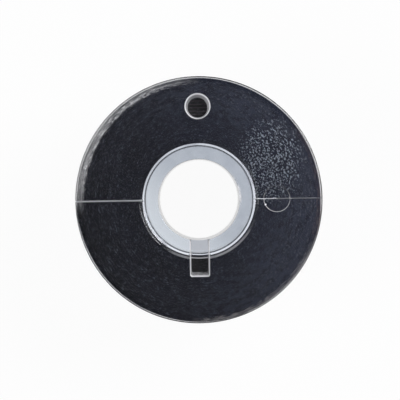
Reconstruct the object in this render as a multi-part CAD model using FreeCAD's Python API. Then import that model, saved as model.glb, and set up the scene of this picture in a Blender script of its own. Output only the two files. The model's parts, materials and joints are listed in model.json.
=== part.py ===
import FreeCAD, Part
import math
import os

from FreeCAD import Vector

# A clear plastic sewing machine bobbin, moulded in one piece, wound nearly full of black thread.
# It stands on one flange: the axis is Z and the lower flange's outer face is at Z = 0.
# All sizes are in millimetres.

# The moulded spool
flange_diameter = 20.5
overall_height = 11.5
flange_thickness = 1.0
bore_diameter = 6.75
hub_wall = 1.045
rim_chamfer = 0.1
edge_break = 0.05

# The chamfer that joins the hub to each flange
hub_chamfer_reach = 0.408
hub_chamfer_rise = 0.361

# The driver slot in each flange, where the winder's spring catches
slot_floor_width = 1.38
slot_past_hub = 1.57
slot_into_hub = 0.02
slot_draft = 6.5
slot_end_draft = 20.5

# The hole in each flange that holds the start of the thread while the bobbin is wound
thread_hole_inner_diameter = 1.62
thread_hole_inset = 2.49
thread_hole_draft = 13.5
thread_hole_lean = 0.11

# The round mark that the mould's ejector pin leaves on the upper face
pin_mark_diameter = 2.22
pin_mark_past_hub = 2.04
pin_mark_depth = 0.035

# The fine groove across the inner faces where the two side halves of the mould meet
mould_line_depth_left = 0.065
mould_line_depth_right = 0.04

# The wound thread
winding_below_rim = 0.15
winding_clearance = 0.03
turn_pitch = 0.47
turn_relief = 0.09

flange_radius = flange_diameter / 2
bore_radius = bore_diameter / 2
hub_radius = bore_radius + hub_wall
upper_face = overall_height
lower_inner_face = flange_thickness
upper_inner_face = overall_height - flange_thickness
chamfer_end = hub_radius + hub_chamfer_reach
slot_floor_end = hub_radius + slot_past_hub
slot_floor = upper_inner_face - slot_into_hub
thread_hole_offset = flange_radius - thread_hole_inset
pin_mark_offset = hub_radius + pin_mark_past_hub
winding_radius = flange_radius - winding_below_rim
cut_top = upper_face + flange_thickness


def turned(corners):
    """The solid of revolution about Z of a half section given by its (radius, height) corners."""
    points = [Vector(radius, 0, height) for radius, height in corners]
    face = Part.Face(Part.makePolygon(points + points[:1]))
    return face.revolve(Vector(0, 0, 0), Vector(0, 0, 1), 360)


def on_lower_flange(shape):
    """The same feature on the lower flange, mirrored through the spool's middle height."""
    return shape.mirror(Vector(0, 0, overall_height / 2), Vector(0, 0, 1))


def spool_blank():
    """The hub with its chamfered corners, both flanges and the bore with its broken edges."""
    return turned([
        (bore_radius, edge_break),
        (bore_radius + edge_break, 0),
        (flange_radius - rim_chamfer, 0),
        (flange_radius, rim_chamfer),
        (flange_radius, lower_inner_face),
        (chamfer_end, lower_inner_face),
        (hub_radius, lower_inner_face + hub_chamfer_rise),
        (hub_radius, upper_inner_face - hub_chamfer_rise),
        (chamfer_end, upper_inner_face),
        (flange_radius, upper_inner_face),
        (flange_radius, upper_face - rim_chamfer),
        (flange_radius - rim_chamfer, upper_face),
        (bore_radius + edge_break, upper_face),
        (bore_radius, upper_face - edge_break),
    ])


def slot_outline(height, margin):
    """The slot's outline at one height, from the axis out to its end towards -Y."""
    above = height - slot_floor
    side = slot_floor_width / 2 + above * math.tan(math.radians(slot_draft)) + margin
    end = slot_floor_end + above * math.tan(math.radians(slot_end_draft)) + margin
    corners = [(-side, 0), (side, 0), (side, -end), (-side, -end), (-side, 0)]
    return Part.makePolygon([Vector(x, y, height) for x, y in corners])


def driver_slot():
    """The cut of the upper flange's slot: through the flange, with a sloped end and a broken edge."""
    channel = Part.makeLoft([slot_outline(slot_floor, 0), slot_outline(cut_top, 0)], True, True)
    mouth = Part.makeLoft([
        slot_outline(upper_face - edge_break, 0),
        slot_outline(upper_face, edge_break),
    ], True, True)
    return channel.fuse(mouth)


def thread_hole_outline(height, margin):
    """The hole's outline at one height; it widens and moves away from the axis towards the outer face."""
    above = height - upper_inner_face
    radius = thread_hole_inner_diameter / 2 + above * math.tan(math.radians(thread_hole_draft)) + margin
    offset = thread_hole_offset - thread_hole_lean * (upper_face - height) / flange_thickness
    return Part.Wire(Part.makeCircle(radius, Vector(0, offset, height)))


def thread_hole():
    """The cut of the upper flange's hole, with a broken edge on the outer face."""
    foot = upper_inner_face - winding_clearance
    drill = Part.makeLoft([thread_hole_outline(foot, 0), thread_hole_outline(cut_top, 0)], True, True)
    mouth = Part.makeLoft([
        thread_hole_outline(upper_face - edge_break, 0),
        thread_hole_outline(upper_face, edge_break),
    ], True, True)
    return drill.fuse(mouth)


def pin_mark():
    """The cut of the shallow round sink that the ejector pin leaves."""
    floor = upper_face - pin_mark_depth
    return Part.makeCylinder(pin_mark_diameter / 2, cut_top - floor, Vector(pin_mark_offset, 0, floor))


def mould_line(side, depth):
    """The cut of a groove with 45 degree walls under the upper flange, from the hub's chamfer to the rim."""
    root = upper_inner_face - hub_chamfer_rise
    section = [
        (-depth, root),
        (depth, root),
        (depth, upper_inner_face),
        (0, upper_inner_face + depth),
        (-depth, upper_inner_face),
        (-depth, root),
    ]
    start = side * (hub_radius + chamfer_end) / 2
    face = Part.Face(Part.makePolygon([Vector(start, y, z) for y, z in section]))
    return face.extrude(Vector(side * (flange_radius + rim_chamfer) - start, 0, 0))


def make_spool():
    cuts = [
        driver_slot(),
        thread_hole(),
        mould_line(-1, mould_line_depth_left),
        mould_line(1, mould_line_depth_right),
    ]
    cuts += [on_lower_flange(cut) for cut in cuts]
    cuts.append(pin_mark())
    return spool_blank().cut(cuts).removeSplitter()


def make_winding():
    """The wound thread as one solid, its corners clear of the hub's, its outside ridged by the turns."""
    low = lower_inner_face + winding_clearance
    high = upper_inner_face - winding_clearance
    inside = hub_radius + winding_clearance
    groove = winding_radius - turn_relief
    turns = int((high - low) / turn_pitch)
    pitch = (high - low) / turns
    outline = [
        (inside + hub_chamfer_reach, high),
        (inside, high - hub_chamfer_rise),
        (inside, low + hub_chamfer_rise),
        (inside + hub_chamfer_reach, low),
        (groove, low),
    ]
    for turn in range(turns):
        outline.append((winding_radius, low + (turn + 0.5) * pitch))
        outline.append((groove, low + (turn + 1) * pitch))
    return turned(outline)


def save(shape, name):
    solid, = shape.Solids
    print(name, "valid", solid.isValid(), "volume", round(solid.Volume, 2))
    solid.exportStep(os.path.join("parts", name + ".step"))


os.makedirs("parts", exist_ok=True)
save(make_spool(), "spool")
save(make_winding(), "thread_winding")
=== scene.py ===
import bmesh
import bpy
import json
import math
import random
from mathutils import Matrix, Vector, noise


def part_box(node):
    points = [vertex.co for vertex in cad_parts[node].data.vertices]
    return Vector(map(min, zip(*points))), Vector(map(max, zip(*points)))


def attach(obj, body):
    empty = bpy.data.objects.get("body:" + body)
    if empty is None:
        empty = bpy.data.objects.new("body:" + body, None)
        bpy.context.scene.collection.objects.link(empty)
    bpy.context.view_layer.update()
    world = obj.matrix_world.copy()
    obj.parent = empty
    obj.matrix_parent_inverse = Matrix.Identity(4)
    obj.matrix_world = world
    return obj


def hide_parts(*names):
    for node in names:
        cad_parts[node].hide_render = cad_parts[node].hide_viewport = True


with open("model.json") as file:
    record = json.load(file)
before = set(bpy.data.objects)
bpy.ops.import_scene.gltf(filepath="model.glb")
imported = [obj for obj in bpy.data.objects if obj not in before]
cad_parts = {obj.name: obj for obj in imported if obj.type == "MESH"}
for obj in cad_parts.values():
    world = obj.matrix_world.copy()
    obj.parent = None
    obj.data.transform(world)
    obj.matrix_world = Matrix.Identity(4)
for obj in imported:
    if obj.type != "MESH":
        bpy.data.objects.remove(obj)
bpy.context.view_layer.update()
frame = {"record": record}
mm = 0.001

# the frame's sizes in millimetres: a piece is modelled in them and shrunk to metres at its end
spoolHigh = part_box("spool")[1] / mm
windLow, windHigh = (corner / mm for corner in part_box("thread_winding"))
mounts = {mount["name"]: mount for mount in frame["record"]["mounts"]}
boreRadius = mounts["bore"]["dims"]["r_mm"]
flangeRadius = max(spoolHigh.x, spoolHigh.y)
topFace = spoolHigh.z
print("frame: flange", round(flangeRadius, 3), "height", round(topFace, 3), "bore", boreRadius)


# shader maths in plain expressions
class Value:
    def __init__(self, finish, socket):
        self.finish = finish
        self.socket = socket

    def math(self, operation, *others):
        return self.finish.math(operation, self, *others)

    def __add__(self, other):
        return self.math("ADD", other)

    def __radd__(self, other):
        return self.math("ADD", other)

    def __sub__(self, other):
        return self.math("SUBTRACT", other)

    def __rsub__(self, other):
        return self.finish.math("SUBTRACT", other, self)

    def __mul__(self, other):
        return self.math("MULTIPLY", other)

    def __rmul__(self, other):
        return self.math("MULTIPLY", other)

    def __truediv__(self, other):
        return self.math("DIVIDE", other)

    def __pow__(self, other):
        return self.math("POWER", other)

    def size(self):
        return self.math("ABSOLUTE")

    def step(self, low, high):
        # 0 below low, 1 above high, smooth between
        return self.finish.node("ShaderNodeMapRange", {"interpolation_type": "SMOOTHSTEP"}, {
            "Value": self, "From Min": low, "From Max": high})["Result"]

    def within(self, low, high, soft):
        return self.step(low - soft, low) * (1 - self.step(high, high + soft))


class Finish:
    def __init__(self, owner):
        owner.use_nodes = True
        self.tree = owner.node_tree
        self.tree.nodes.clear()

    def node(self, kind, settings, sockets):
        made = self.tree.nodes.new(kind)
        for name, setting in settings.items():
            setattr(made, name, setting)
        for name, value in sockets.items():
            self.feed(made.inputs[name], value)
        return {output.name: Value(self, output) for output in made.outputs if output.enabled}

    def feed(self, socket, value):
        if isinstance(value, Value):
            self.tree.links.new(value.socket, socket)
        else:
            socket.default_value = value

    def math(self, operation, *terms):
        return self.node("ShaderNodeMath", {"operation": operation}, dict(enumerate(terms)))["Value"]

    def blend(self, factor, first, second):
        # the colour sockets of a Mix node are its seventh and eighth
        sockets = {0: factor, 6: first, 7: second}
        return self.node("ShaderNodeMix", {"data_type": "RGBA"}, sockets)["Result"]

    def parts(self, vector):
        split = self.node("ShaderNodeSeparateXYZ", {}, {"Vector": vector})
        return split["X"], split["Y"], split["Z"]

    def place(self):
        # the point in the object's own frame, in millimetres, and round the bobbin's axis
        x, y, z = (part / mm for part in self.parts(self.node("ShaderNodeTexCoord", {}, {})["Object"]))
        return x, y, z, self.length(x, y), self.math("ARCTAN2", y, x)

    def length(self, x, y):
        return (x * x + y * y) ** 0.5

    def along(self, x, y, way):
        return x * way[0] + y * way[1]

    def disc(self, x, y, middle, reach):
        # 1 near a point on the flange, 0 away from it
        return 1 - self.length(x - middle[0], y - middle[1]).step(*reach)

    def sector(self, angle, middle, inner, outer):
        # 1 round the axis within the inner angle of a middle one, 0 beyond the outer
        return self.math("COSINE", angle - middle).step(math.cos(outer), math.cos(inner))

    def point(self, x, y, z):
        return self.node("ShaderNodeCombineXYZ", {}, {"X": x, "Y": y, "Z": z})["Vector"]

    def grain(self, spot, scale, detail, roughness=0.5):
        return self.node("ShaderNodeTexNoise", {}, {
            "Vector": spot, "Scale": scale, "Detail": detail, "Roughness": roughness})["Fac"]

    def speckle(self, spot, grain, rise):
        # grain that rises from 0 to 1 between two of its values
        return self.grain(spot, *grain).step(*rise)


# edit mode helpers
def startPiece(name):
    piece = bpy.context.object
    piece.name = name
    piece.data.name = name
    return piece


def only(piece):
    bpy.ops.object.select_all(action="DESELECT")
    piece.select_set(True)
    bpy.context.view_layer.objects.active = piece


def pick(piece, kind, test):
    # select the points, edges or faces whose middle passes the test
    bpy.ops.object.mode_set(mode="EDIT")
    bpy.ops.mesh.select_mode(type=kind)
    bpy.ops.mesh.select_all(action="DESELECT")
    mesh = bmesh.from_edit_mesh(piece.data)
    for part in {"VERT": mesh.verts, "EDGE": mesh.edges, "FACE": mesh.faces}[kind]:
        if kind == "VERT":
            middle = part.co
        elif kind == "EDGE":
            middle = (part.verts[0].co + part.verts[1].co) / 2
        else:
            middle = part.calc_center_median()
        part.select = test(middle)
    mesh.select_flush_mode()
    bmesh.update_edit_mesh(piece.data)


mergeWithin = 0.001


def near(value, target, slack=0.002):
    return abs(value - target) < slack


def closeUp():
    # merge what coincides, turn the faces outwards and leave edit mode
    bpy.ops.mesh.select_all(action="SELECT")
    bpy.ops.mesh.remove_doubles(threshold=mergeWithin)
    bpy.ops.mesh.normals_make_consistent(inside=False)
    bpy.ops.object.mode_set(mode="OBJECT")


def drawSection(name, points, closed):
    # a plane pinched to one point, then drawn out along the half section
    bpy.ops.object.select_all(action="DESELECT")
    bpy.ops.mesh.primitive_plane_add(size=1)
    piece = startPiece(name)
    bpy.ops.object.mode_set(mode="EDIT")
    bpy.ops.mesh.select_mode(type="VERT")
    bpy.ops.mesh.select_all(action="SELECT")
    bpy.ops.mesh.merge(type="CENTER")
    bpy.ops.transform.translate(value=(points[0][0], 0, points[0][1]))
    route = points + points[:1] if closed else points
    for (r0, z0), (r1, z1) in zip(route, route[1:]):
        bpy.ops.mesh.extrude_region_move(TRANSFORM_OT_translate={"value": (r1 - r0, 0, z1 - z0)})
    bpy.ops.mesh.select_all(action="SELECT")
    bpy.ops.mesh.remove_doubles(threshold=mergeWithin / 2)
    return piece


def roundCorners(piece, radius, steps, test):
    pick(piece, "VERT", test)
    bpy.ops.mesh.bevel(offset=radius, segments=steps, profile=0.5, affect="VERTICES")


def turnSection(steps):
    bpy.ops.mesh.select_all(action="SELECT")
    bpy.ops.mesh.spin(steps=steps, angle=2 * math.pi, center=(0, 0, 0), axis=(0, 0, 1))
    closeUp()


def cutOut(piece, tool):
    only(piece)
    change = piece.modifiers.new("cut", "BOOLEAN")
    change.operation = "DIFFERENCE"
    change.solver = "EXACT"
    change.object = tool
    bpy.ops.object.modifier_apply(modifier=change.name)
    bpy.data.objects.remove(tool)


def settle(tool, place, upsideDown):
    # put a tool drawn at the origin where it works, turned over for the lower flange
    if upsideDown:
        tool.rotation_euler = (0, math.pi, 0)
    tool.location = place
    only(tool)
    bpy.ops.object.transform_apply(location=True, rotation=True, scale=True)
    return tool


def toMetres(piece):
    piece.scale = (mm, mm, mm)
    only(piece)
    bpy.ops.object.transform_apply(location=False, rotation=False, scale=True)


# clear moulded spool
spoolShape = {
    "flangeThickness": 1.0,
    "hubRadius": 4.42,
    "cornerReach": 0.408,  # the chamfer between hub and flange, out along the flange
    "cornerRise": 0.361,  # and along the hub
    "cornerRounds": (0.16, 0.20),  # where it meets them
    "rimRound": 0.1,
    "boreRound": 0.05,
    "edgeRound": 0.05,
    "around": 256,
    "cutterAround": 72,
    "roundSteps": 6,
    "smoothAngle": math.radians(32),
    "slotDraft": math.radians(6.5),  # the slots' and holes' walls lean out to the outer face
    "slotEndDraft": math.radians(20.5),
    "slotWidth": 1.38,
    "slotEnd": 5.99,
    "slotDepth": 1.02,
    "slotCorner": 0.15,
    "slotStart": 0.5,  # of the bore's radius: the slot's cutter starts inside the bore
    "slotPlate": (2.2, 1.5, 1),  # its plate against its mouth
    "holeDraft": math.radians(13.5),
    "holeRadius": 0.81,
    "holeOffset": 7.76,
    "holeLean": 0.13,  # the hole's inner end lies nearer the axis
    "holePast": 0.2,  # of the flange's thickness: how far the hole's cutter goes on below it
    "holePlate": 2,  # its plate against its mouth
    "markRadius": 1.11,
    "markOffset": 6.46,
    "markDepth": 0.035,
    "markPlate": 1.5,
    "lineDepth": {-1: 0.065, 1: 0.04},  # the mould line is deeper on the left
    "lineStart": 0.204,
    "linePast": 1.02,  # of the flange's radius: how far its cutter reaches
    "clear": 0.002,  # keeps a cutter's plate off the flange's face
}


def slotCutter():
    s = spoolShape
    start = boreRadius * s["slotStart"]
    flare, endFlare = (s["slotDepth"] * math.tan(s[draft]) for draft in ("slotDraft", "slotEndDraft"))
    half = s["slotWidth"] / 2
    bpy.ops.object.select_all(action="DESELECT")
    bpy.ops.mesh.primitive_cube_add(size=1)
    tool = startPiece("slotCutter")
    bpy.ops.object.mode_set(mode="EDIT")
    bpy.ops.transform.resize(value=(s["slotWidth"], s["slotEnd"] - start, s["slotDepth"] + s["clear"]))
    middle = (0, -(s["slotEnd"] + start) / 2, (s["clear"] - s["slotDepth"]) / 2)
    bpy.ops.transform.translate(value=middle)
    pick(tool, "EDGE", lambda p: near(abs(p.x), half) and near(p.y, -s["slotEnd"]))
    bpy.ops.mesh.bevel(offset=s["slotCorner"], segments=s["roundSteps"], profile=0.5, affect="EDGES")
    pick(tool, "FACE", lambda p: near(p.z, s["clear"]))
    length = s["slotEnd"] - start
    bpy.ops.transform.resize(value=(1 + flare / half, 1 + endFlare / length, 1),
                             center_override=(0, -start, s["clear"]))
    # a wider plate on top, and the corner under it rounded, ease the slot's mouth
    bpy.ops.mesh.extrude_region_move(TRANSFORM_OT_translate={"value": (0, 0, 0)})
    bpy.ops.transform.resize(value=s["slotPlate"])
    bpy.ops.mesh.extrude_region_move(TRANSFORM_OT_translate={"value": (0, 0, s["flangeThickness"])})
    pick(tool, "EDGE", lambda p: near(p.z, s["clear"]) and abs(p.x) < (half + flare) * 1.01
         and -(s["slotEnd"] + endFlare) * 1.001 < p.y < -start * 0.999)
    bpy.ops.mesh.bevel(offset=s["edgeRound"], segments=s["roundSteps"], profile=0.5, affect="EDGES")
    closeUp()
    return tool


def holeCutter():
    s = spoolShape
    lean = math.tan(s["holeDraft"])
    below = s["holePast"] * s["flangeThickness"]
    foot = s["holeRadius"] - below * lean
    mouth = s["holeRadius"] + s["flangeThickness"] * lean
    plate = s["holePlate"] * mouth
    tool = drawSection("holeCutter", [
        (0, -s["flangeThickness"] - below), (foot, -s["flangeThickness"] - below), (mouth, s["clear"]),
        (plate, s["clear"]), (plate, s["flangeThickness"]), (0, s["flangeThickness"])], False)
    roundCorners(tool, s["edgeRound"], s["roundSteps"],
                 lambda p: near(p.x, mouth) and near(p.z, s["clear"]))
    turnSection(s["cutterAround"])
    pick(tool, "VERT", lambda p: near(p.z, -s["flangeThickness"] - below))
    bpy.ops.transform.translate(value=(0, -s["holeLean"], 0))
    bpy.ops.object.mode_set(mode="OBJECT")
    return tool


def markCutter():
    s = spoolShape
    depth, plate = s["markDepth"], s["markPlate"] * s["markRadius"]
    tool = drawSection("markCutter", [
        (0, -depth), (s["markRadius"] - depth, -depth), (s["markRadius"], s["clear"]),
        (plate, s["clear"]), (plate, s["flangeThickness"]), (0, s["flangeThickness"])], False)
    soft, steps = depth / 2, s["roundSteps"] // 2
    roundCorners(tool, soft, steps, lambda p: near(p.z, s["clear"]) and near(p.x, s["markRadius"]))
    roundCorners(tool, soft, steps, lambda p: near(p.z, -depth) and p.x > depth)
    turnSection(s["cutterAround"])
    return tool


def lineCutter(side):
    # a fine groove with 45 degree walls in the flange's inner face, from the hub's chamfer to the rim
    s = spoolShape
    first, last = s["hubRadius"] + s["lineStart"], s["linePast"] * flangeRadius
    depth, below = s["lineDepth"][side], s["cornerRise"]
    bpy.ops.object.select_all(action="DESELECT")
    bpy.ops.mesh.primitive_cube_add(size=1)
    tool = startPiece("lineCutter")
    bpy.ops.object.mode_set(mode="EDIT")
    bpy.ops.transform.resize(value=(last - first, 2 * depth, below))
    bpy.ops.transform.translate(value=(side * (first + last) / 2, 0, -s["flangeThickness"] - below / 2))
    pick(tool, "FACE", lambda p: near(p.z, -s["flangeThickness"]))
    bpy.ops.mesh.extrude_region_move(TRANSFORM_OT_translate={"value": (0, 0, depth)})
    bpy.ops.transform.resize(value=(1, 0, 1))
    closeUp()
    return tool


def makeSpool():
    s = spoolShape
    low, high = s["flangeThickness"], topFace - s["flangeThickness"]
    hub, rise = s["hubRadius"], s["cornerRise"]
    end = hub + s["cornerReach"]
    spool = drawSection("spool_clear", [
        (boreRadius, 0), (flangeRadius, 0), (flangeRadius, low), (end, low), (hub, low + rise),
        (hub, high - rise), (end, high), (flangeRadius, high), (flangeRadius, topFace),
        (boreRadius, topFace)], True)
    roundCorners(spool, s["boreRound"], s["roundSteps"], lambda p: near(p.x, boreRadius))
    roundCorners(spool, s["cornerRounds"][0], 2 * s["roundSteps"], lambda p: near(p.x, hub))
    roundCorners(spool, s["cornerRounds"][1], 2 * s["roundSteps"], lambda p: near(p.x, end))
    roundCorners(spool, s["rimRound"], s["roundSteps"],
                 lambda p: near(p.x, flangeRadius) and (near(p.z, 0) or near(p.z, topFace)))
    turnSection(s["around"])
    faces = {False: Vector((0, 0, topFace)), True: Vector((0, 0, 0))}
    for upsideDown, face in faces.items():
        cutOut(spool, settle(holeCutter(), face + Vector((0, s["holeOffset"], 0)), upsideDown))
    cutOut(spool, settle(markCutter(), faces[False] + Vector((s["markOffset"], 0, 0)), False))
    for upsideDown, face in faces.items():
        cutOut(spool, settle(slotCutter(), face, upsideDown))
        for side in (-1, 1):
            cutOut(spool, settle(lineCutter(side), face, upsideDown))
    only(spool)
    bpy.ops.object.mode_set(mode="EDIT")
    closeUp()
    bpy.ops.object.shade_smooth_by_angle(angle=s["smoothAngle"])
    # keeps the flat faces flat beside their rounds
    level = spool.modifiers.new("level", "WEIGHTED_NORMAL")
    level.keep_sharp = True
    level.weight = 100
    bpy.ops.object.modifier_apply(modifier=level.name)
    toMetres(spool)
    print("spool:", len(spool.data.polygons), "faces")
    return spool


# clear polystyrene, with frosted walls where the mould's cores drew out
# a grain is its scale, detail and roughness, and, where it says so, between which values it rises
plasticLook = {
    "thinTint": (0.78, 0.785, 0.795, 1),
    "hubTint": (0.585, 0.635, 0.715, 1),  # the hub is seen through its whole length
    "hubLight": (0.87, 0.93, 1.0, 1),  # painted light: the hub's tint is lighter towards the lower left
    "lightFrom": (-0.75, -0.66),
    "lightReach": (-0.35, 0.98),
    "cloud": 0.22,  # how much it clears in patches elsewhere
    "cloudGrain": ((0.9, 2.0), (0.38, 0.62)),
    "hubSoft": 0.1,
    # the hub's chamfer shows as a ring, with a painted highlight on its lower right
    "ring": {"towards": (0.53, -0.85), "spread": (-0.1, 0.6), "reach": 0.45, "tint": (1, 1, 1, 1)},
    # and painted shade dulls it at these angles, so many degrees to each side
    "ringBreaks": [(28, 13), (97, 7), (149, 19), (231, 3)],
    "breakEdge": (0.5, 1.5),  # of those degrees: where a break begins to fade and where it ends
    "breakTint": (0.5, 0.5, 0.52, 1),
    # painted shade on the slot's floor, inside the hub, and its margins
    "floor": {"tint": (0.67, 0.70, 0.76, 1), "sides": (-0.02, 0.01), "depth": 0.03, "depthSoft": 0.02,
              "ends": (0.03, -0.05), "endSoft": 0.03},
    "ior": 1.59,
    "roughness": {"least": 0.03, "haze": 0.05, "hazeGrain": (0.35, 3.0), "scuff": 0.10},
    "bump": {"strength": 0.25, "height": 0.1, "ripple": (0.22, 1.0), "fine": (6.0, 2.0), "fineShare": 0.02},
    "frost": (0.94, 0.94, 0.96, 1),
    "frostRoughness": 0.45,
    "patches": {"about": 0.9, "swing": 0.5, "grain": (2.5, 3.0)},  # frost is uneven
    "soft": 0.01,  # how softly it begins and ends in depth
    "softRadius": 0.02,  # and along the radius
    "level": (0.90, 0.97),  # how level a face is where it stops being a wall
    "wallEnd": 0.9,  # of the flange's thickness: how deep the walls go
    "lineBegin": 0.91,  # and where the mould line begins
    "mouthFrost": 0.95,
    "wallFrost": 0.58,
    "mouthDepth": (0.25, 0.55),  # where the one passes into the other
    "endFrost": 0.28,  # the walls that slope more, below their mouths
    "endSlope": (0.15, 0.25),
    "endDepth": (0.12, 0.45),
    "hubEndFrost": 1.6,  # the slot's walls inside the hub, against the rest of them
    "hubEndSoft": 0.2,
    "holeFrost": 1.08,  # the thread hole's wall, which has no patches
    "holeFrom": (2, 3),  # walls beyond this y are the hole's
    "markFrost": (0.45, -0.27),  # at the pin mark's middle, and how it changes along y, paler towards the lower side as a painted highlight
    "markReach": (1.1, 1.15),  # of its radius
    # a painted glint: a white spot on the pin mark's edge
    "nick": {"at": (5.51, -0.48), "reach": (0.05, 0.11)},
    # the mould line is frosted white, a painted highlight, stronger on the left
    "lineFrost": {-1: 1.0, 1: 0.45},
    "lineSides": (-1, 1),  # where x passes from the one to the other
    "lineWidth": 0.08,
    "lineFrom": (0.18, 0.2),  # out from the hub
    # where the hub's chamfer runs out, painted pale on its lower side as a painted highlight
    "cornerEnd": {"band": (0.40, 0.56), "towards": (0.25, -0.97), "spread": (0.6, 1.05), "frost": 0.75},
    "faceDepth": (0.1, 0.2),  # how deep the outer faces' marks reach
    "boreFrost": 0.16,
    "boreBand": 0.2,
    "boreGrain": ((0.5, 1.0), (0.4, 0.6)),
    # a painted highlight beside the bore
    "bruise": {"angle": math.radians(15), "half": math.radians(17), "edge": (0.5, 1.4),
               "reach": (0.05, 0.24), "frost": 0.8, "grain": ((3.0, 2.0), (0.2, 0.6))},
    # pale streaks near the rim of the flange, on the upper left
    "rub": {"angle": math.radians(143), "half": math.radians(32), "soft": 0.25,
            "radius": (9.62, 9.90), "radiusSoft": 0.15, "frost": 0.58,
            "stretch": (26, 8), "grain": ((1.0, 3.0, 0.65), (0.42, 0.72))},
    # fine scratches on the flange, which run one way
    "scuff": {"at": (4.6, -4.0), "reach": (1.5, 5.0), "frost": 0.05, "way": (0.35, 0.9),
              "stretch": (9, 2), "grain": ((1.6, 4.0, 0.65), (0.64, 0.76))},
}


def plasticTint(f, here, depth, spot):
    s, look = spoolShape, plasticLook
    x, y, _, radius, angle = here
    hub = s["hubRadius"]
    # painted light: the hub's tint is lighter towards the lower left, and clears in random patches
    towards = f.along(x, y, look["lightFrom"]) / hub
    cloud = look["cloud"] * f.speckle(spot, *look["cloudGrain"])
    light = f.math("MAXIMUM", towards.step(*look["lightReach"]), cloud)
    hubTint = f.blend(light, look["hubTint"], look["hubLight"])
    # the hub's chamfer, with a painted highlight on its lower right
    ring = look["ring"]
    onRing = 1 - radius.step(hub + ring["reach"], hub + ring["reach"] + look["hubSoft"])
    litRing = (f.along(x, y, ring["towards"]) / radius).step(*ring["spread"])
    thinTint = f.blend(onRing * litRing, look["thinTint"], ring["tint"])
    # painted shade on the ring at the listed angles
    for turn, half in look["ringBreaks"]:
        inner, outer = (math.radians(share * half) for share in look["breakEdge"])
        broken = f.sector(angle, math.radians(turn), inner, outer)
        thinTint = f.blend(onRing * broken, thinTint, look["breakTint"])
    # painted shade on the slot's floor
    floor = look["floor"]
    slotFloorShade = 1 - x.size().step(*(s["slotWidth"] / 2 + margin for margin in floor["sides"]))
    first, last = s["slotDepth"] - floor["depth"], s["slotDepth"] + floor["depth"]
    slotFloorShade = slotFloorShade * depth.within(first, last, floor["depthSoft"])
    first, last = boreRadius + floor["ends"][0], hub + floor["ends"][1]
    slotFloorShade = slotFloorShade * radius.within(first, last, floor["endSoft"])
    hubTint = f.blend(slotFloorShade, hubTint, floor["tint"])
    return f.blend(radius.step(hub, hub + look["hubSoft"]), hubTint, thinTint)


def frostAmount(f, here, depth, spot, scuff):
    s, look = spoolShape, plasticLook
    x, y, z, radius, angle = here
    thick, hub = s["flangeThickness"], s["hubRadius"]
    soft, softRadius = look["soft"], look["softRadius"]
    patches = look["patches"]
    patchy = patches["about"] + patches["swing"] * (f.grain(spot, *patches["grain"]) - 0.5)
    onOuterFace = 1 - depth.step(*look["faceDepth"])
    # the steep walls inside a flange: slots, holes and the pin mark's edge, whitest at their mouths
    facing = f.parts(f.node("ShaderNodeTexCoord", {}, {})["Normal"])[2].size()
    steep = 1 - facing.step(*look["level"])
    wall = steep * depth.within(0, look["wallEnd"] * thick, soft)
    first, last = boreRadius + 2 * s["boreRound"], flangeRadius - 2 * s["rimRound"]
    wall = wall * radius.within(first, last, softRadius)
    frost = look["mouthFrost"] + (look["wallFrost"] - look["mouthFrost"]) * depth.step(*look["mouthDepth"])
    onEnd = facing.step(*look["endSlope"]) * depth.step(*look["endDepth"])
    frost = frost + onEnd * (look["endFrost"] - frost)
    pastHub = radius.step(hub - look["hubEndSoft"], hub)
    frost = frost * (look["hubEndFrost"] + (1 - look["hubEndFrost"]) * pastHub)
    markEdge = [share * s["markRadius"] for share in look["markReach"]]
    onMark = f.disc(x, y, (s["markOffset"], 0), markEdge) * onOuterFace
    # the mark's edge is frosted, and painted paler towards its lower side as a painted highlight
    markFrost = look["markFrost"][0] + look["markFrost"][1] * y
    evenly = patchy + (look["holeFrost"] - patchy) * y.step(*look["holeFrom"])
    amount = wall * evenly * (frost + onMark * (markFrost - frost))
    # the mould line, frosted white as a painted highlight, stronger on the left
    onLine = steep * (1 - y.size().step(look["lineWidth"], look["lineWidth"] + soft))
    onLine = onLine * depth.within(look["lineBegin"] * thick, thick + s["cornerRise"], soft)
    onLine = onLine * radius.step(*(hub + reach for reach in look["lineFrom"]))
    left, right = look["lineFrost"][-1], look["lineFrost"][1]
    amount = amount + onLine * (left + (right - left) * x.step(*look["lineSides"]))
    # the end of the hub's chamfer, painted pale on its lower side as a painted highlight
    corner = look["cornerEnd"]
    first, last = (hub + reach for reach in corner["band"])
    onCorner = depth.within(thick, thick + s["cornerRise"], soft) * radius.within(first, last, softRadius)
    below = f.along(x, y, corner["towards"]) / hub
    amount = amount + onCorner * below.step(*corner["spread"]) * patchy * corner["frost"]
    # a paler grainy band at the bore's edge, and a painted highlight beside it
    onBore = onOuterFace * (1 - radius.step(boreRadius, boreRadius + look["boreBand"]))
    amount = amount + onBore * look["boreFrost"] * f.speckle(spot, *look["boreGrain"])
    bruise = look["bruise"]
    inner, outer = (share * bruise["half"] for share in bruise["edge"])
    boreHighlit = f.sector(angle, bruise["angle"], inner, outer)
    boreHighlit = boreHighlit * (1 - radius.step(*(boreRadius + reach for reach in bruise["reach"])))
    boreHighlit = boreHighlit * f.speckle(spot, *bruise["grain"])
    amount = amount + onOuterFace * boreHighlit * bruise["frost"]
    # a painted glint at the pin mark, the scratches and the pale streaks at the rim
    nick = f.disc(x, y, look["nick"]["at"], look["nick"]["reach"])
    worn = f.disc(x, y, look["scuff"]["at"], look["scuff"]["reach"])
    amount = amount + onOuterFace * (nick + worn * scuff * look["scuff"]["frost"])
    rub = look["rub"]
    streakedRim = f.sector(angle, rub["angle"], rub["half"] - rub["soft"], rub["half"] + rub["soft"])
    streakedRim = streakedRim * radius.within(*rub["radius"], rub["radiusSoft"])
    streaks = f.point(angle * rub["stretch"][0], radius * rub["stretch"][1], z)
    streakedRim = streakedRim * f.speckle(streaks, *rub["grain"])
    return amount + onOuterFace * streakedRim * rub["frost"]


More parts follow.
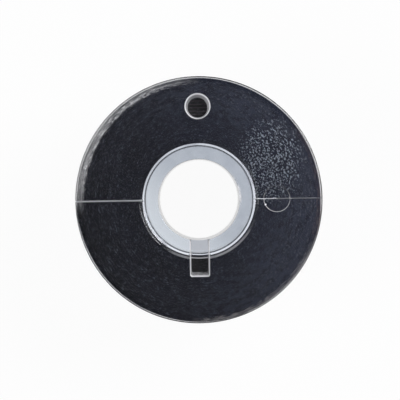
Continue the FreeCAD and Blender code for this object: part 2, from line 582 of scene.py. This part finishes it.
def clearPlastic():
    look = plasticLook
    material = bpy.data.materials.new("clear_plastic")
    f = Finish(material)
    here = f.place()
    x, y, z = here[:3]
    spot = f.point(x, y, z)
    depth = topFace / 2 - (z - topFace / 2).size()  # below the nearer outer face
    rough, bump = look["roughness"], look["bump"]
    haze = f.grain(spot, *rough["hazeGrain"])
    (wayX, wayY), (across, down) = look["scuff"]["way"], look["scuff"]["stretch"]
    scratch = f.point(x * wayX + y * wayY, (y * wayX - x * wayY) * across, z * down)
    scuff = f.speckle(scratch, *look["scuff"]["grain"])
    ripple = f.grain(spot, *bump["ripple"]) + bump["fineShare"] * f.grain(spot, *bump["fine"])
    normal = f.node("ShaderNodeBump", {}, {
        "Strength": bump["strength"], "Distance": bump["height"] * mm, "Height": ripple})["Normal"]
    clear = f.node("ShaderNodeBsdfPrincipled", {}, {
        "Base Color": plasticTint(f, here, depth, spot),
        "Roughness": rough["least"] + rough["haze"] * haze + rough["scuff"] * scuff,
        "IOR": look["ior"],
        "Transmission Weight": 1.0,
        "Normal": normal})["BSDF"]
    frost = f.node("ShaderNodeBsdfPrincipled", {}, {
        "Base Color": look["frost"], "Roughness": look["frostRoughness"]})["BSDF"]
    amount = frostAmount(f, here, depth, spot, scuff)
    shader = f.node("ShaderNodeMixShader", {}, {0: amount, 1: clear, 2: frost})["Shader"]
    f.node("ShaderNodeOutputMaterial", {}, {"Surface": shader})
    return material


# black thread, wound nearly full
windingShape = {
    "threadWidth": 0.24,
    "pointsPerTurn": 5,
    "around": 216,
    "hubGap": 0.03,
    "faceGroove": 0.02,
    "sideGroove": 0.075,
    "faceWander": 2.0,  # how far a turn strays, in thread widths
    "sideWander": 0.3,
    "strayScale": (1.7, 0.8),  # noise round the axis and across the turns
    "fineScale": (4.1, 1.9),
    "fineShare": 0.5,
    "unevenFace": 0.06,
    "unevenFaceScale": (2.3, 0.6),
    # from the rim to the winding under the upper flange, by the angle in degrees
    "rimGaps": [(0, 0.12), (80, 0.13), (110, 0.12), (135, 0.09), (165, 0.09), (177, 0.11), (184, 0.07),
                (215, 0.085), (255, 0.075), (285, 0.08), (312, 0.08), (335, 0.04), (350, 0.05),
                (360, 0.12)],
    "leastGap": 0.03,
    "shoulder": 0.5,  # how much of the gap closes towards the middle of the height
    "shoulderFrom": 0.5,  # of the height
    "unevenEdge": 0.04,
    "unevenEdgeScale": (1.6, 2.5),
    "spreadPower": 3,  # the outer turns move most to meet the gap
    "sideWithin": 0.05,
    "edgeDrop": 0.3,  # the face falls away over the last turns
    "dropTurns": 4,
    # loose fibres that stand out of the winding where it falls back
    "fibres": [
        {"towards": 140, "count": 9, "crest": (9.6, 10.1), "height": (0.6, 0.97)},
        {"towards": 308, "count": 4, "crest": (9.95, 10.14), "height": (0.4, 0.97)},
    ],
    "fibreRing": 9.2,
    "fibreSteps": (180, 5),  # along a fibre and round it
    "fibreScatter": 12,
    "fibreWidth": (0.02, 0.05),
    "fibreWaver": 0.05,
    "fibreLift": 3,  # it wavers so much more in height
    "fibreScale": 3.0,
    "fibrePhases": 40,
    "fibreSeed": 11,
    "seed": Vector((3.1, 7.7, 1.3)),
}


def ease(low, high, value):
    share = min(max((value - low) / (high - low), 0.0), 1.0)
    return share * share * (3 - 2 * share)


def turnDepth(turns):
    # 0 on a turn's crest, 1 in the groove beside it
    return 0.5 - 0.5 * math.cos(2 * math.pi * turns)


def uneven(around, along, scale, seed):
    # noise round the axis and along a line
    return noise.noise(around * scale[0] + Vector((0, 0, along * scale[1])) + seed)


def edgeGap(angle, around, height):
    # from the rim to the winding, at a share of the winding's height
    w = windingShape
    degrees = math.degrees(angle) % 360
    for (first, before), (last, after) in zip(w["rimGaps"], w["rimGaps"][1:]):
        if first <= degrees <= last:
            gap = before + (after - before) * ease(first, last, degrees)
    gap *= 1 - w["shoulder"] * (1 - ease(w["shoulderFrom"], 1.0, height))
    gap += w["unevenEdge"] * uneven(around, height, w["unevenEdgeScale"], w["seed"])
    return max(gap, w["leastGap"])


def windingPoint(spot, low, high, inner, outer):
    w = windingShape
    radius = math.hypot(spot.x, spot.y)
    angle = math.atan2(spot.y, spot.x)
    around = Vector((math.cos(angle), math.sin(angle), 0))
    onFace = near(spot.z, low) or near(spot.z, high)
    across = radius if onFace else spot.z
    stray = uneven(around, across, w["strayScale"], w["seed"])
    stray += w["fineShare"] * uneven(around, across, w["fineScale"], -w["seed"])
    wander, relief = (w[("face" if onFace else "side") + name] for name in ("Wander", "Groove"))
    groove = turnDepth(across / w["threadWidth"] + angle / (2 * math.pi) + wander * stray)
    sink = relief * groove
    spread = ((radius - inner) / (outer - inner)) ** w["spreadPower"]
    gap = edgeGap(angle, around, (spot.z - low) / (high - low))
    moved = around * (radius + (flangeRadius - gap - outer) * spread)
    moved.z = spot.z
    if onFace:
        sink += w["unevenFace"] * (0.5 + uneven(around, radius, w["unevenFaceScale"], Vector()))
        sink += w["edgeDrop"] * ease(outer - w["dropTurns"] * w["threadWidth"], outer, radius)
        moved.z += max(sink, 0.0) * (1 if near(spot.z, low) else -1)
    elif near(radius, outer, w["sideWithin"]):
        moved -= around * sink
    return moved, groove


def fibreRing(crest, towards, height, width, phase):
    # a wavering ring, set off the axis so that only its crest leaves the winding
    w = windingShape
    bpy.ops.object.select_all(action="DESELECT")
    along, around = w["fibreSteps"]
    bpy.ops.mesh.primitive_torus_add(
        major_radius=w["fibreRing"], minor_radius=width / 2, major_segments=along, minor_segments=around)
    ring = startPiece("fibre")
    for vertex in ring.data.vertices:
        outward = Vector((vertex.co.x, vertex.co.y, 0)).normalized()
        place = outward * w["fibreScale"] + Vector((0, 0, phase))
        vertex.co += outward * w["fibreWaver"] * noise.noise(place)
        vertex.co.z += w["fibreLift"] * w["fibreWaver"] * noise.noise(place + w["seed"])
    shift = Vector((math.cos(towards), math.sin(towards), 0)) * (crest - w["fibreRing"])
    return settle(ring, shift + Vector((0, 0, height)), False)


def addFibres(winding, low, high):
    w = windingShape
    draw = random.Random(w["fibreSeed"])
    rings = []
    for group in w["fibres"]:
        for _ in range(group["count"]):
            towards = math.radians(group["towards"] + draw.uniform(-w["fibreScatter"], w["fibreScatter"]))
            height = low + (high - low) * draw.uniform(*group["height"])
            rings.append(fibreRing(draw.uniform(*group["crest"]), towards, height,
                                   draw.uniform(*w["fibreWidth"]), draw.uniform(0, w["fibrePhases"])))
    only(winding)
    for ring in rings:
        ring.select_set(True)
    bpy.ops.object.join()
    print("fibres:", len(rings))


def makeWinding():
    w = windingShape
    low, high = windLow.z, windHigh.z
    outer = max(windHigh.x, windHigh.y)
    inner = spoolShape["hubRadius"] + w["hubGap"]
    end, rise = inner + spoolShape["cornerReach"], spoolShape["cornerRise"]
    winding = drawSection("thread_wound", [
        (inner, low + rise), (end, low), (outer, low), (outer, high), (end, high),
        (inner, high - rise)], True)
    faceCuts = round((outer - end) / w["threadWidth"] * w["pointsPerTurn"])
    sideCuts = round((high - low) / w["threadWidth"] * w["pointsPerTurn"])
    pick(winding, "EDGE", lambda p: near(p.z, low) or near(p.z, high))
    bpy.ops.mesh.subdivide(number_cuts=faceCuts)
    pick(winding, "EDGE", lambda p: near(p.x, outer) and low < p.z < high)
    bpy.ops.mesh.subdivide(number_cuts=sideCuts)
    turnSection(w["around"])
    grooves = winding.data.attributes.new("groove", "FLOAT", "POINT")  # drives painted shade in the grooves between the turns on the outside
    for vertex in winding.data.vertices:
        vertex.co, grooves.data[vertex.index].value = windingPoint(vertex.co, low, high, inner, outer)
    addFibres(winding, low, high)
    toMetres(winding)
    bpy.ops.object.shade_smooth()
    print("winding:", len(winding.data.polygons), "faces")
    return winding


# a grain follows the turns: how fine it is round the axis and across them, then as for the plastic
threadLook = {
    # painted shade: the thread is painted far darker on the winding's faces, under the flanges, than on its
    # outside
    "dark": (0.002, 0.0022, 0.003, 1),
    "side": (0.034, 0.034, 0.040, 1),  # a turn's crest on the winding's outside
    # painted shade in the grooves between the turns
    "sideGroove": (0.005, 0.005, 0.007, 1),
    "faceEdge": (0.5, 0.42),  # the faces drop this far at their rim
    "fibre": {"stretch": (30, 6), "grain": (1.0, 3.0, 0.6)},
    "mottle": {"stretch": (9, 2.5), "grain": (1.0, 3.0, 0.6), "middle": 0.46},
    "slotSoft": (0.03, 0.05),  # at the slot's sides and ends
    "lint": (0.24, 0.25, 0.31, 1),
    "lintGrain": {"stretch": (30, 11), "grain": (1.0, 2.0, 0.6), "rise": (0.46, 0.85)},
    "lintMottle": (0.35, 0.7),
    "lintLeast": {"mottle": 0.3, "bare": 0.3, "side": 0.2},  # what stays of it there
    "lintLost": 0.8,  # where the flecks are
    # painted light: the outer turns are painted paler, all round and more on the side towards the key lamp
    "haze": (0.055, 0.06, 0.08, 1),
    "hazeRadius": (5.0, 8.8),
    "hazeAmount": (0.12, 0.7),  # all round, and what the light adds
    "hazeMottle": {"least": 0.1, "gain": 1.7, "rise": (0.35, 0.65)},
    "litFrom": (0.96, 0.28),
    "litReach": (-0.8, 0.7),
    "fleck": (0.82, 0.91, 1.0, 1),
    "fleckPatch": (6.1, 3.3),  # the middle of the patch of painted glints, where the twist catches the light
    "fleckStretch": (1.15, 0.92),  # it is longer along y
    "fleckReach": (0.8, 4.5),
    "fleckElsewhere": 0.18,
    "fleckFull": 0.7,
    "fleckThin": (0.08, 0.18),  # how flecks thin out towards the patch's edge, and in clumps
    "fleckGrain": {"stretch": (34, 7), "grain": (1.0, 2.0, 0.7), "rise": (0.485, 0.52)},
    "dash": {"stretch": (46, 7), "shift": (7, 3), "grain": (1.0, 0.0), "rise": (0.455, 0.51)},
    "bare": (0.07, 0.058, 0.072, 1),  # painted light on the turns that the thread hole bares
    "bareTurns": 22,
    "bareStray": 6,
    "bareRise": (0.2, 1.0),
    "bareReach": (0.75, 0.9),
    "twist": {"around": 240, "across": 14, "stray": 40, "strayGrain": (0.6, 2.0), "height": 0.3},
    "roughness": (0.48, 0.25),
    "bump": {"strength": 0.5, "height": 0.03},
    "tuftSoft": 0.15,
    "tuftLeast": 0.45,
    "tuftRagged": 0.7,
    "streak": {"stretch": (16, 11, 5), "grain": (1.0, 3.0, 0.65), "rise": (0.4, 0.65)},
    # painted light on loose fibres at the upper edge, where they catch it: round which angle, how far, from
    # which radius on
    "fuzzy": [
        {"angle": math.radians(137), "half": math.radians(42), "radius": (9.6, 9.85), "amount": 1.0,
         "colour": (0.95, 0.94, 0.94, 1)},
        {"angle": math.radians(160), "half": math.radians(16), "radius": (9.5, 9.7), "amount": 1.0,
         "colour": (0.98, 0.97, 0.96, 1)},
        {"angle": math.radians(303), "half": math.radians(32), "radius": (9.85, 10.0), "amount": 0.8,
         "colour": (0.90, 0.84, 0.82, 1)},
        {"angle": math.radians(8), "half": math.radians(24), "radius": (9.7, 10.0), "amount": 0.6,
         "colour": (0.52, 0.40, 0.37, 1)},
    ],
}


def blackThread():
    s, look = spoolShape, threadLook
    material = bpy.data.materials.new("black_thread")
    f = Finish(material)
    x, y, z, radius, angle = f.place()

    def turnGrain(made):
        around, across = made["stretch"]
        return f.grain(f.point(angle * around, radius * across, z * across), *made["grain"])

    t = look["twist"]
    stray = f.grain(f.point(x, y, z), *t["strayGrain"])
    twist = f.math("SINE", angle * t["around"] + (radius + z) * t["across"] + stray * t["stray"])
    fibre = turnGrain(look["fibre"])
    mottle = turnGrain(look["mottle"])
    # the thread hole and the slots bare it, so it is lit more strongly there
    bare = f.disc(x, y, (0, s["holeOffset"] - s["holeLean"]), look["bareReach"])
    half = s["slotWidth"] / 2
    sideSoft, endSoft = look["slotSoft"]
    inSlot = 1 - x.size().step(half - sideSoft, half + sideSoft)
    inSlot = inSlot * y.within(-s["slotEnd"], -s["hubRadius"], endSoft)
    covered = 1 - f.math("MAXIMUM", bare, inSlot)
    # how near the winding's upper or lower face
    middle = (windLow.z + windHigh.z) / 2
    onFace = (z - middle).size().step(*(windHigh.z - middle - drop for drop in look["faceEdge"]))
    # lint lies along the turns, with less of it where the flecks are
    (across, along), (wide, tall) = look["fleckPatch"], look["fleckStretch"]
    patch = onFace * (1 - f.length((x - across) * wide, (y - along) * tall).step(*look["fleckReach"]))
    least = look["lintLeast"]
    lint = turnGrain(look["lintGrain"]).step(*look["lintGrain"]["rise"])
    lint = lint * (least["mottle"] + mottle.step(*look["lintMottle"]))
    lint = lint * (least["bare"] + (1 - least["bare"]) * covered)
    lint = lint * (least["side"] + (1 - least["side"]) * onFace) * (1 - look["lintLost"] * patch)
    # painted shade in the grooves between the turns on the outside
    groove = f.node("ShaderNodeAttribute", {"attribute_name": "groove"}, {})["Fac"]
    side = f.blend(groove, look["side"], look["sideGroove"])
    # painted shade on the faces under the flanges
    colour = f.blend(lint, f.blend(onFace, side, look["dark"]), look["lint"])
    # painted light on the outer turns, more on the side towards the key lamp
    lit = (f.along(x, y, look["litFrom"]) / radius).step(*look["litReach"])
    outward = radius.step(*look["hazeRadius"]) * covered * onFace
    haze = outward * (look["hazeAmount"][0] + look["hazeAmount"][1] * lit)
    cloudy = look["hazeMottle"]
    haze = haze * (cloudy["least"] + cloudy["gain"] * mottle.step(*cloudy["rise"])) * (1 - patch)
    colour = f.blend(haze, colour, look["haze"])
    # flecks are painted glints: short dashes along the turns, where two grains meet
    patch = f.math("MAXIMUM", patch, look["fleckElsewhere"] * outward * lit)
    atEdge, inClumps = look["fleckThin"]
    thin = atEdge * (1 - patch) + inClumps * (mottle - look["mottle"]["middle"])
    fleck = turnGrain(look["fleckGrain"]).step(*(value + thin for value in look["fleckGrain"]["rise"]))
    dash = look["dash"]
    (around, across), (turned, outwards) = dash["stretch"], dash["shift"]
    dashes = f.point(angle * around + turned, radius * across + outwards, z * across)
    fleck = fleck * f.speckle(dashes, dash["grain"], dash["rise"])
    colour = f.blend(fleck * patch.step(0.0, look["fleckFull"]), colour, look["fleck"])
    # painted light: the turns stand out where the thread hole bares them
    turn = f.math("SINE", y * look["bareTurns"] + mottle * look["bareStray"]).step(*look["bareRise"])
    colour = f.blend(bare * turn * mottle, colour, look["bare"])
    # painted light on loose fibres at the upper edge
    edge = z.step(*(windHigh.z - drop for drop in look["faceEdge"]))
    around, across, upward = look["streak"]["stretch"]
    streak = f.grain(f.point(angle * around, radius * across, z * upward), *look["streak"]["grain"])
    ragged = radius + look["tuftRagged"] * (streak - 0.5)
    strength = look["tuftLeast"] + (1 - look["tuftLeast"]) * streak.step(*look["streak"]["rise"])
    for tuft in look["fuzzy"]:
        inner, outer = tuft["half"] - look["tuftSoft"], tuft["half"] + look["tuftSoft"]
        fuzzLight = f.sector(angle, tuft["angle"], inner, outer)
        fuzzLight = fuzzLight * edge * ragged.step(*tuft["radius"]) * strength
        colour = f.blend(fuzzLight * tuft["amount"], colour, tuft["colour"])
    bump = f.node("ShaderNodeBump", {}, {
        "Strength": look["bump"]["strength"], "Distance": look["bump"]["height"] * mm,
        "Height": twist * t["height"] + fibre})["Normal"]
    shader = f.node("ShaderNodeBsdfPrincipled", {}, {
        "Base Color": colour,
        "Roughness": look["roughness"][0] + look["roughness"][1] * fibre,
        "Normal": bump})["BSDF"]
    f.node("ShaderNodeOutputMaterial", {}, {"Surface": shader})
    return material


spool = makeSpool()
spool.data.materials.clear()
spool.data.materials.append(clearPlastic())
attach(spool, "root")
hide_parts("spool")

winding = makeWinding()
winding.data.materials.clear()
winding.data.materials.append(blackThread())
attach(winding, "root")
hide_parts("thread_winding")

# floor, studio and lamps, in metres
studio = {
    "floorSize": 4.0,
    "floorGap": 0.02 * mm,
    "floorGlow": 0.95,  # how white the camera sees the floor
    "floorThrough": 0.72,  # and how white it is through the plastic or in a reflection
    "floorColour": (0.9, 0.9, 0.9, 1),
    "wallColour": (0.95, 0.96, 1.0, 1),
    "ceilingColour": (0.055, 0.055, 0.065, 1),
    "ceilingFrom": (0.15, 0.75),  # how far up the walls pass into it
    "softbox": {"towards": (0.10, 0.035, 1.0), "reach": 0.17, "colour": (0.29, 0.33, 0.54, 1)},
    "lamps": [
        {"name": "key", "at": (0.40, 0.22, 0.42), "size": 0.34, "watts": 2.4},
        {"name": "fill", "at": (-0.42, -0.12, 0.36), "size": 0.36, "watts": 1.2},
    ],
}


def makeFloor():
    bpy.ops.object.select_all(action="DESELECT")
    bpy.ops.mesh.primitive_plane_add(size=studio["floorSize"], location=(0, 0, -studio["floorGap"]))
    floor = startPiece("floor")
    material = bpy.data.materials.new("white_floor")
    f = Finish(material)
    path = f.node("ShaderNodeLightPath", {}, {})
    through = f.math("MAXIMUM", path["Is Glossy Ray"], path["Is Transmission Ray"])
    seen = f.math(
        "MAXIMUM", path["Is Camera Ray"] * studio["floorGlow"], through * studio["floorThrough"])
    matt = f.node("ShaderNodeBsdfDiffuse", {}, {"Color": studio["floorColour"]})["BSDF"]
    glow = f.node("ShaderNodeEmission", {}, {"Color": (1, 1, 1, 1), "Strength": 1.0})["Emission"]
    shader = f.node("ShaderNodeMixShader", {}, {0: seen, 1: matt, 2: glow})["Shader"]
    f.node("ShaderNodeOutputMaterial", {}, {"Surface": shader})
    floor.data.materials.append(material)


def makeStudio():
    world = bpy.data.worlds.new("studio")
    bpy.context.scene.world = world
    f = Finish(world)
    towards = f.node("ShaderNodeTexCoord", {}, {})["Generated"]
    up = f.parts(towards)[2]
    colour = f.blend(up.step(*studio["ceilingFrom"]), studio["wallColour"], studio["ceilingColour"])
    box = studio["softbox"]
    middle = Vector(box["towards"]).normalized()
    apart = f.node("ShaderNodeVectorMath", {"operation": "DISTANCE"}, {0: towards, 1: middle})["Value"]
    colour = f.blend(1 - apart.step(0.0, box["reach"]), colour, box["colour"])
    path = f.node("ShaderNodeLightPath", {}, {})
    colour = f.blend(path["Is Camera Ray"], colour, (1, 1, 1, 1))
    light = f.node("ShaderNodeBackground", {}, {"Color": colour, "Strength": 1.0})["Background"]
    f.node("ShaderNodeOutputWorld", {}, {"Surface": light})
    for lamp in studio["lamps"]:
        place = Vector(lamp["at"])
        bpy.ops.object.light_add(type="AREA", location=place)
        made = bpy.context.object
        made.name = lamp["name"]
        made.data.size = lamp["size"]
        made.data.energy = lamp["watts"]
        made.rotation_euler = (-place).to_track_quat("-Z", "Y").to_euler()
    print("studio:", len(studio["lamps"]), "lamps")


# the photograph's view, almost straight down the bore
photo = {
    "side": 400,
    "flangeCentre": (198.95, 199.75),
    "flangePixels": 123.65,
    "roll": math.radians(0.9),
    "distance": 250.0,
    "offAxis": (-0.1, 1.7),
    "sensor": 36.0,
    "clipStart": 0.01,
}


def makeCamera():
    p = photo
    scale = flangeRadius / p["flangePixels"]
    half = p["side"] / 2
    aim = Vector(((half - p["flangeCentre"][0]) * scale, (p["flangeCentre"][1] - half) * scale, topFace))
    place = Vector((p["offAxis"][0], p["offAxis"][1], topFace + p["distance"]))
    back = (place - aim).normalized()
    right = Vector((math.cos(p["roll"]), -math.sin(p["roll"]), 0))
    right = (right - back * right.dot(back)).normalized()
    up = back.cross(right)
    bpy.ops.object.camera_add(location=place * mm)
    camera = bpy.context.object
    camera.rotation_euler = Matrix((right, up, back)).transposed().to_euler()
    camera.data.sensor_width = p["sensor"]
    focal = p["flangePixels"] * (p["distance"] + spoolShape["rimRound"]) / flangeRadius
    camera.data.lens = focal * p["sensor"] / p["side"]
    camera.data.clip_start = p["clipStart"]
    bpy.context.scene.camera = camera


makeFloor()
makeStudio()
makeCamera()
bpy.context.scene.view_settings.view_transform = "Standard"
